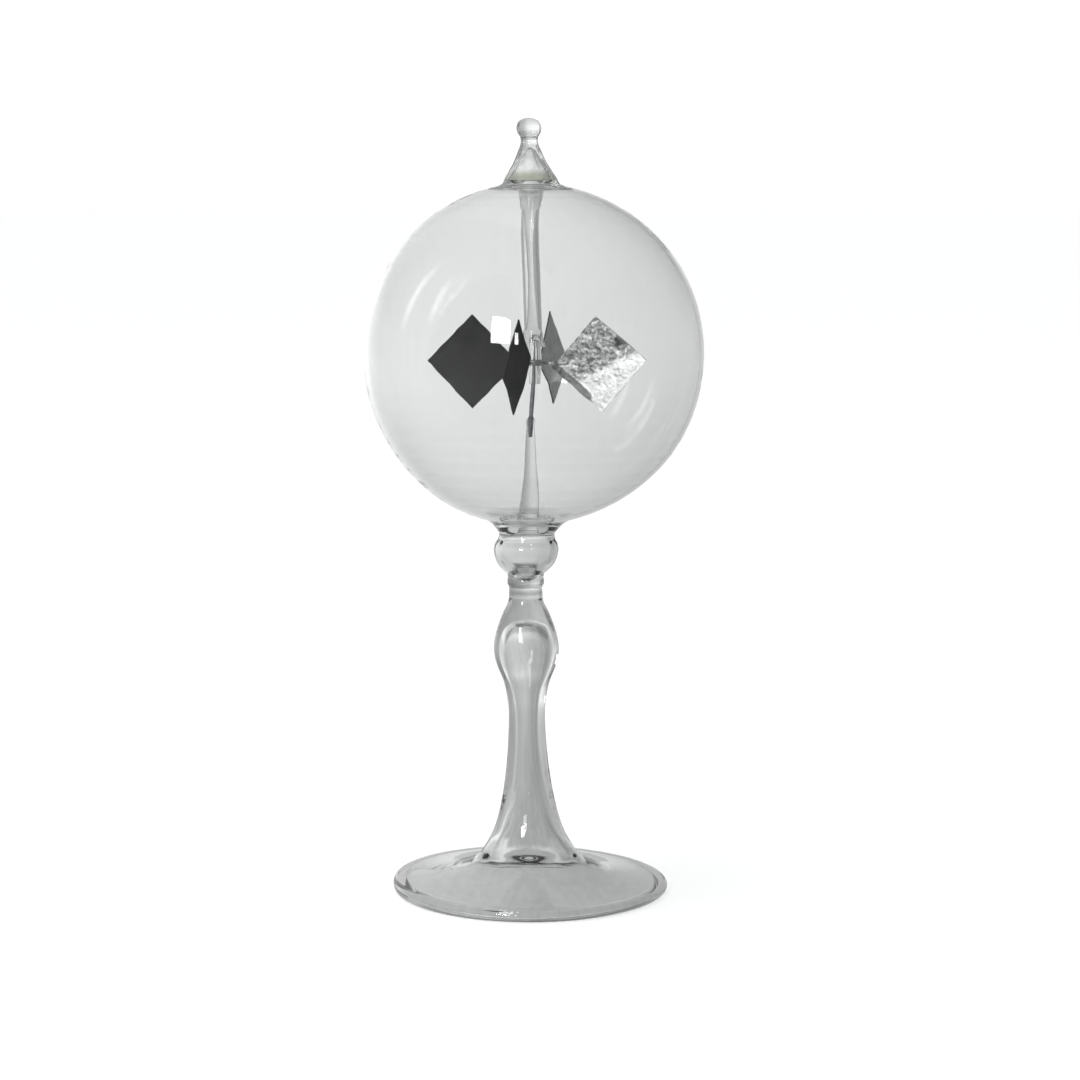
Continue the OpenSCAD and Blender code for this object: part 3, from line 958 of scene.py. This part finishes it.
def soften(data):
    """Makes a rectangular light fade towards its edges, as a curtained window does."""
    data.use_nodes = True
    tree = data.node_tree
    glow = tree.nodes["Emission"]
    where = tree.nodes.new("ShaderNodeNewGeometry")
    parts = tree.nodes.new("ShaderNodeSeparateXYZ")
    tree.links.new(where.outputs["Parametric"], parts.inputs["Vector"])
    dark, full = grey(0.0), grey(1.0)
    fades = [
        ramp(tree, parts.outputs[axis], (0.0, dark), (edge, full), (1 - edge, full), (1.0, dark))
        for axis, edge in (("X", 0.4), ("Y", 0.35))
    ]
    tree.links.new(product(tree, "ShaderNodeVectorMath", *fades), glow.inputs["Color"])


def window(name, direction, distance, size, radiance):
    """A soft rectangular light that the glass mirrors, seen from the bulb in a given direction."""
    data = bpy.data.lights.new(name, "AREA")
    data.shape = "RECTANGLE"
    data.size, data.size_y = size
    data.energy = radiance * math.pi * size[0] * size[1]
    lamp = bpy.data.objects.new(name, data)
    centre = Vector((0, 0, BULB_MID * MM))
    aim(lamp, centre + Vector(direction).normalized() * distance, centre)
    return lamp


def make_lights():
    """One big soft light for the floor, and the windows that show in the glass.

    The two windows on the left show in the bulb only.
    """
    data = bpy.data.lights.new("overhead", "SUN")
    data.energy = 2.6
    data.angle = math.radians(50)
    overhead = bpy.data.objects.new("overhead", data)
    overhead.visible_glossy = False
    overhead.visible_transmission = False
    aim(overhead, (-0.5, -0.2, 2), (0, 0, 0))
    window("front_window", (-0.370, -0.872, 0.319), 1.2, (0.25, 0.31), 24)
    window("side_sash", (-0.205, -0.945, 0.25), 1.2, (0.045, 0.16), 18)
    bulb_only = bpy.data.collections.new("bulb_only")
    bulb_only.objects.link(bpy.data.objects["bulb_piece"])
    for name, direction, height in (
        ("left_window", (-0.92, -0.22, 0.52), 0.75), ("far_left_window", (-0.93, 0.17, 0.45), 0.9),
    ):
        pane = window(name, direction, 1.4, (0.17, height), 2.1)
        pane.light_linking.receiver_collection = bulb_only
        soften(pane.data)


make_world()
make_floor()
make_lights()

scene = bpy.context.scene
scene.view_settings.view_transform = "Standard"
scene.cycles.max_bounces = 40
scene.cycles.transmission_bounces = 40
scene.cycles.transparent_max_bounces = 48
scene.cycles.glossy_bounces = 8
